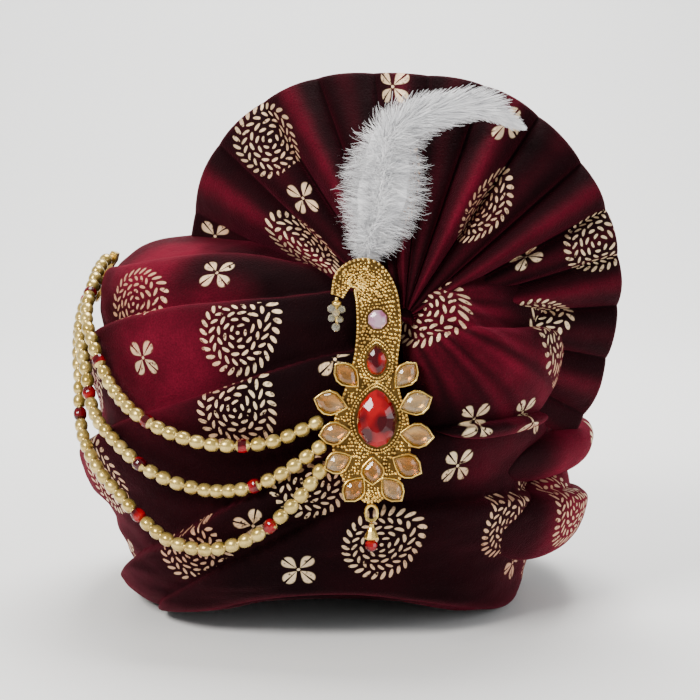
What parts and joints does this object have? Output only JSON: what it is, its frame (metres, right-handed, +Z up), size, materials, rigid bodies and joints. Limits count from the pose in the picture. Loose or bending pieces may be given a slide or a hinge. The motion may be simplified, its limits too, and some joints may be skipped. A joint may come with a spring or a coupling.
{
  "type": "tied turban (pagri) with fan crest, brooch, plume and pearl strings",
  "caption": "Wound maroon velvet turban with gold block print, a pleated fan crest, a gold paisley brooch with red stones, a white plume and swagged strings of pearls.",
  "frame": {"origin": "middle of the outline on the surface that the rim stands on", "axes": "+Z up, -Y the way the brooch faces, +X to the right of a viewer who looks at the brooch"},
  "size_m": [0.281, 0.2636, 0.2749],
  "materials": {
    "velvet": "deep pile velvet, maroon, with gold foil block print",
    "gold": "polished gold plating with fine granulation",
    "red_glass": "faceted red glass",
    "clear_crystal": "faceted pale crystal",
    "pearl": "golden pearl lustre",
    "feather": "soft white feather"
  },
  "bodies": {
    "root": {"crown_wrap": "velvet", "side_drape": "velvet", "tail_fold_upper": "velvet", "tail_fold_lower": "velvet", "fan_crest": "velvet", "plume": "feather", "brooch_plate": "gold", "ruby_large": "red_glass", "ruby_small": "red_glass", "rose_crystal": "clear_crystal", "petal_crystal_1": "clear_crystal", "petal_crystal_2": "clear_crystal", "petal_crystal_3": "clear_crystal", "petal_crystal_4": "clear_crystal", "petal_crystal_5": "clear_crystal", "petal_crystal_6": "clear_crystal", "petal_crystal_7": "clear_crystal", "petal_crystal_8": "clear_crystal", "petal_crystal_9": "clear_crystal", "petal_crystal_10": "clear_crystal", "petal_crystal_11": "clear_crystal", "hook_drop": "gold", "drop_loop": "gold", "drop_bell": "gold", "drop_bead": "red_glass", "pearl_string_upper": "pearl", "pearl_string_middle": "pearl", "pearl_string_lower": "pearl", "string_clasp": "gold"}
  },
  "joints": []
}
